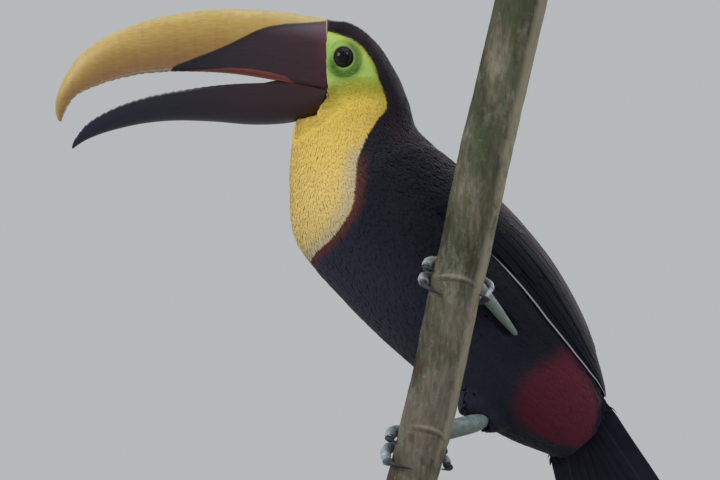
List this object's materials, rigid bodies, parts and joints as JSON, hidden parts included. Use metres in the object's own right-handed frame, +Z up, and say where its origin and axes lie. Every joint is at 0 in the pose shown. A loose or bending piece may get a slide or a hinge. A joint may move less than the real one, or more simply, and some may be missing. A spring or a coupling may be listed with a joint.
{
  "type": "toucan model",
  "caption": "Life-size yellow-throated toucan gripping a short upright stem on a round stand: long arched bill a little open, body slanting down, wings folded, tail below.",
  "frame": {"origin": "centre of the round base's underside", "axes": "+Z up, -X the way the bill points, -Y the bird's left side and the side the perch stands on"},
  "size_m": [0.4208, 0.21, 0.4029],
  "materials": {
    "black_plumage": "glossy black feathers, maroon-tinged on the hindneck and back",
    "yellow_bib": "fine soft yellow feathers",
    "green_face": "bare lime-green skin round the eye, black crown feathers behind",
    "yellow_bill": "satin horn, yellow ridge over a dark wedge",
    "maroon_bill": "satin horn, maroon to blue-black",
    "eye": "wet black",
    "blue_grey_leg": "scaled blue-grey skin",
    "claw_horn": "dark horn",
    "bark": "grey-buff ringed bark with moss",
    "stand_wood": "dark satin wood",
    "stand_steel": "brushed"
  },
  "bodies": {
    "root": {"head": "green_face", "neck": "yellow_bib", "trunk": "black_plumage", "tail": "black_plumage", "left_wing": "black_plumage", "right_wing": "black_plumage", "upper_bill": "yellow_bill", "lower_bill": "maroon_bill", "left_eye": "eye", "right_eye": "eye", "left_shank": "blue_grey_leg", "left_thigh": "black_plumage", "left_toe_1": "blue_grey_leg", "left_toe_1_claw": "claw_horn", "left_toe_2": "blue_grey_leg", "left_toe_2_claw": "claw_horn", "left_toe_3": "blue_grey_leg", "left_toe_3_claw": "claw_horn", "left_toe_4": "blue_grey_leg", "left_toe_4_claw": "claw_horn", "right_shank": "blue_grey_leg", "right_thigh": "black_plumage", "right_toe_1": "blue_grey_leg", "right_toe_1_claw": "claw_horn", "right_toe_2": "blue_grey_leg", "right_toe_2_claw": "claw_horn", "right_toe_3": "blue_grey_leg", "right_toe_3_claw": "claw_horn", "right_toe_4": "blue_grey_leg", "right_toe_4_claw": "claw_horn", "perch": "bark", "stand_base": "stand_wood", "stand_rod": "stand_steel"}
  },
  "joints": []
}
